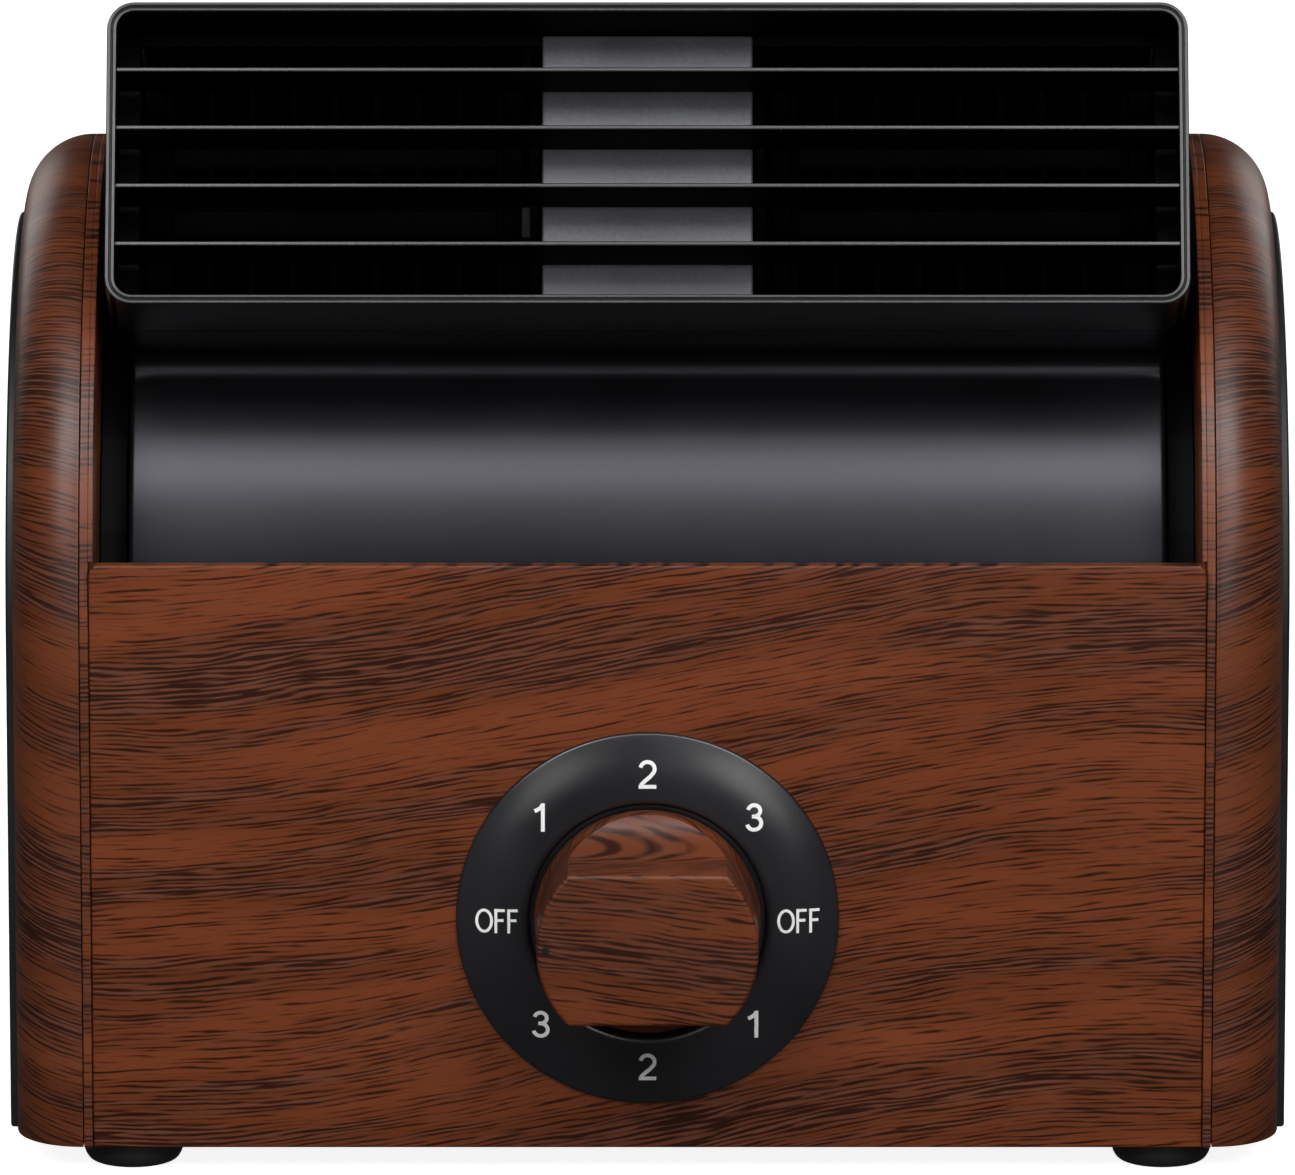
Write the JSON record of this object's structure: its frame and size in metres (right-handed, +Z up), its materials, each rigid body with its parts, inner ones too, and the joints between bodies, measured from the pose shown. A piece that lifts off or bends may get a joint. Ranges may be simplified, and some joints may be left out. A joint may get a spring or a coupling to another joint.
{
  "type": "ceramic space heater",
  "caption": "Desktop ceramic heater: arched wood-grain cheeks hold a black blower head that tilts, with a slatted outlet, above a panel with a rotary switch.",
  "frame": {"origin": "on the floor, under the middle of the bounding box", "axes": "+X to the viewer's right across the heater, +Y from the front panel to the back, +Z up"},
  "size_m": [0.2328, 0.1856, 0.2089],
  "materials": {
    "wood_grain": "satin printed wood-grain film",
    "black_satin": "satin moulded",
    "black_gloss": "gloss",
    "rubber": "matt moulded",
    "grey_plate": "satin paint",
    "dark_plastic": "matt moulded",
    "white_plastic": "matt moulded",
    "steel": "plated",
    "brass": "turned",
    "aluminium": "rolled",
    "black_metal": "black coating",
    "ceramic": "fired, matt"
  },
  "bodies": {
    "base": {"left_cheek": "wood_grain", "right_cheek": "wood_grain", "left_inner_wall": "wood_grain", "right_inner_wall": "wood_grain", "left_side_cover": "black_satin", "right_side_cover": "black_satin", "left_pivot_bush": "dark_plastic", "right_pivot_bush": "dark_plastic", "front_panel": "wood_grain", "rear_panel": "wood_grain", "base_plate": "dark_plastic", "drum_cradle": "dark_plastic", "cord_gland": "rubber", "tilt_switch": "white_plastic", "terminal_block": "white_plastic", "foot_front_left": "rubber", "foot_front_right": "rubber", "foot_rear_left": "rubber", "foot_rear_right": "rubber", "base_screw_1": "steel", "base_screw_2": "steel", "base_screw_3": "steel", "base_screw_4": "steel", "dial_plate": "black_gloss", "rotary_switch": "dark_plastic", "switch_nut": "steel"},
    "head": {"drum_front_shell": "black_satin", "drum_rear_shell": "black_satin", "drum_left_end": "black_satin", "drum_right_end": "black_satin", "outlet_grille": "black_satin", "centre_plate": "grey_plate", "left_retainer_ring": "dark_plastic", "right_retainer_ring": "dark_plastic", "left_bulkhead": "dark_plastic", "right_bulkhead": "dark_plastic", "heater_frame_left": "dark_plastic", "heater_frame_right": "dark_plastic", "motor_body": "steel", "motor_bracket": "steel", "thermal_cutout": "aluminium", "heater_fins_left": "black_metal", "heater_fins_right": "black_metal", "ptc_bar_left_lower": "ceramic", "ptc_bar_left_upper": "ceramic", "ptc_bar_right_lower": "ceramic", "ptc_bar_right_upper": "ceramic", "thermal_fuse": "ceramic"},
    "rotor": {"motor_shaft": "steel", "left_impeller": "dark_plastic", "right_impeller": "dark_plastic", "left_impeller_clip": "steel", "right_impeller_clip": "steel"},
    "knob": {"knob": "wood_grain", "knob_shaft": "brass"}
  },
  "joints": [
    {"name": "head_tilt", "type": "hinge", "parent": "base", "child": "head", "pos_m": [0, 0.0123, 0.095], "axis": [-1, 0, 0], "range_deg": [-28, 60]},
    {"name": "impeller_spin", "type": "hinge", "parent": "head", "child": "rotor", "pos_m": [0, 0.0123, 0.095], "axis": [1, 0, 0], "continuous": true},
    {"name": "knob_turn", "type": "hinge", "parent": "base", "child": "knob", "pos_m": [0, -0.0682, 0.0482], "axis": [0, -1, 0], "continuous": true}
  ]
}
